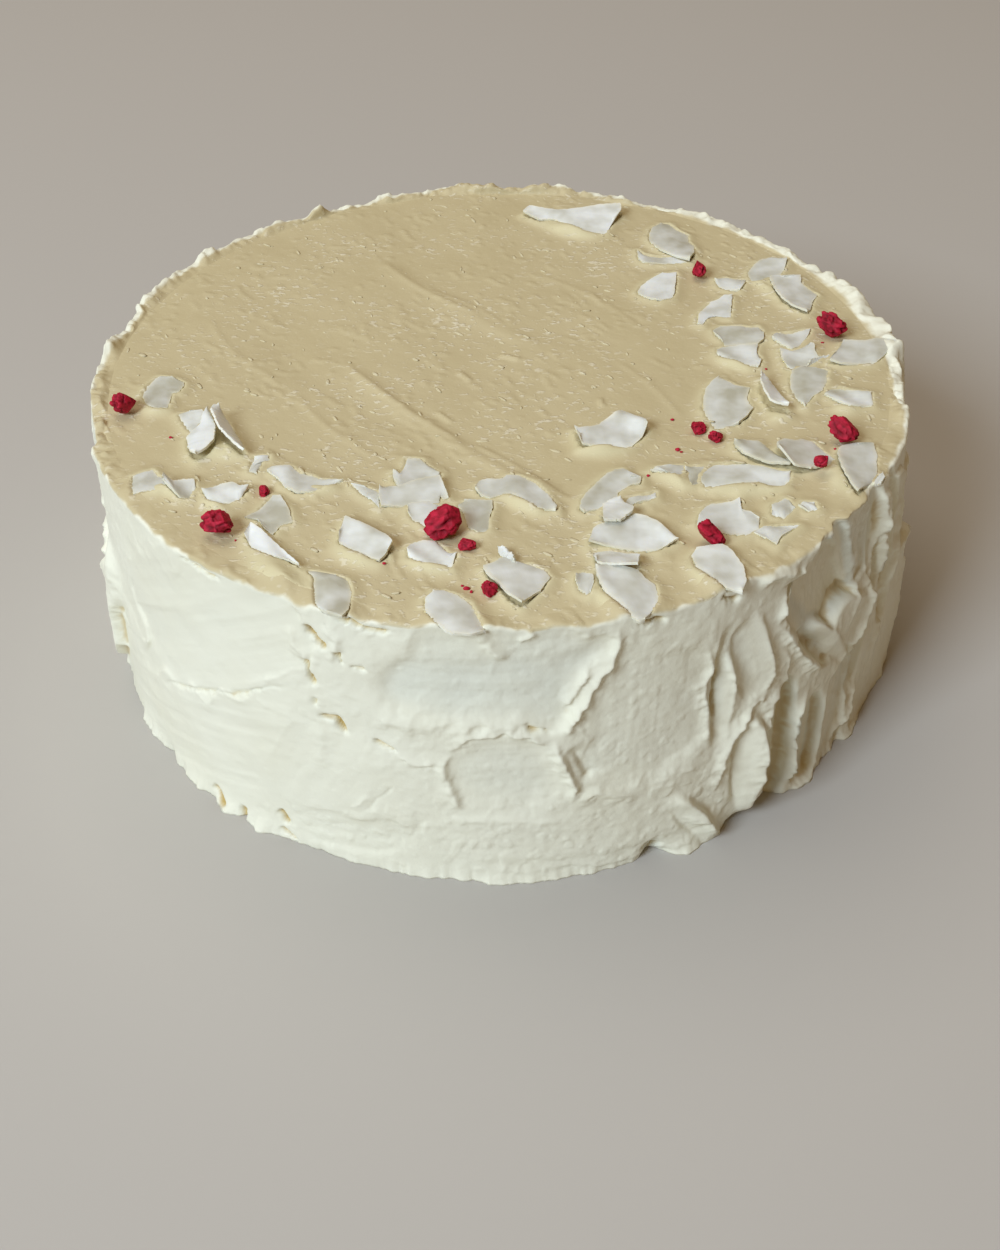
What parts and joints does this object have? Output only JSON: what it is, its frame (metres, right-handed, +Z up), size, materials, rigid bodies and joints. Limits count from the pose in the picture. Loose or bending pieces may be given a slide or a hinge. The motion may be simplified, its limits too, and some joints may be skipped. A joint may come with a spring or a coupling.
{
  "type": "layer cake",
  "caption": "Round cake frosted all over with cream frosting in rough knife strokes, with coconut chips and freeze-dried raspberry pieces scattered on the top.",
  "frame": {"origin": "middle of the underside, on the surface that the cake stands on", "axes": "+Z up through the top of the cake, -Y towards the front, where the toppings lie thickest"},
  "size_m": [0.2484, 0.2483, 0.0966],
  "materials": {
    "frosting": "cream-white butter frosting, soft satin, spread with a palette knife",
    "coconut": "dried coconut shavings, white and slightly see-through",
    "raspberry": "freeze-dried raspberry, dry and crimson"
  },
  "bodies": {
    "root": {"cake": "frosting", "coconut_chip_01": "coconut", "coconut_chip_02": "coconut", "coconut_chip_03": "coconut", "coconut_chip_04": "coconut", "coconut_chip_05": "coconut", "coconut_chip_06": "coconut", "coconut_chip_07": "coconut", "coconut_chip_08": "coconut", "coconut_chip_09": "coconut", "coconut_chip_10": "coconut", "coconut_chip_11": "coconut", "coconut_chip_12": "coconut", "coconut_chip_13": "coconut", "coconut_chip_14": "coconut", "coconut_chip_15": "coconut", "coconut_chip_16": "coconut", "coconut_chip_17": "coconut", "coconut_chip_18": "coconut", "coconut_chip_19": "coconut", "coconut_chip_20": "coconut", "coconut_chip_21": "coconut", "coconut_chip_22": "coconut", "coconut_chip_23": "coconut", "coconut_chip_24": "coconut", "coconut_chip_25": "coconut", "coconut_chip_26": "coconut", "coconut_chip_27": "coconut", "coconut_chip_28": "coconut", "coconut_chip_29": "coconut", "coconut_chip_30": "coconut", "coconut_chip_31": "coconut", "coconut_chip_32": "coconut", "coconut_chip_33": "coconut", "coconut_chip_34": "coconut", "coconut_chip_35": "coconut", "coconut_chip_36": "coconut", "coconut_chip_37": "coconut", "coconut_chip_38": "coconut", "coconut_chip_39": "coconut", "coconut_chip_40": "coconut", "coconut_chip_41": "coconut", "coconut_chip_42": "coconut", "coconut_chip_43": "coconut", "coconut_chip_44": "coconut", "coconut_chip_45": "coconut", "coconut_chip_46": "coconut", "coconut_chip_47": "coconut", "coconut_chip_48": "coconut", "coconut_chip_49": "coconut", "raspberry_piece_01": "raspberry", "raspberry_piece_02": "raspberry", "raspberry_piece_03": "raspberry", "raspberry_piece_04": "raspberry", "raspberry_piece_05": "raspberry", "raspberry_piece_06": "raspberry", "raspberry_piece_07": "raspberry", "raspberry_piece_08": "raspberry"}
  },
  "joints": []
}
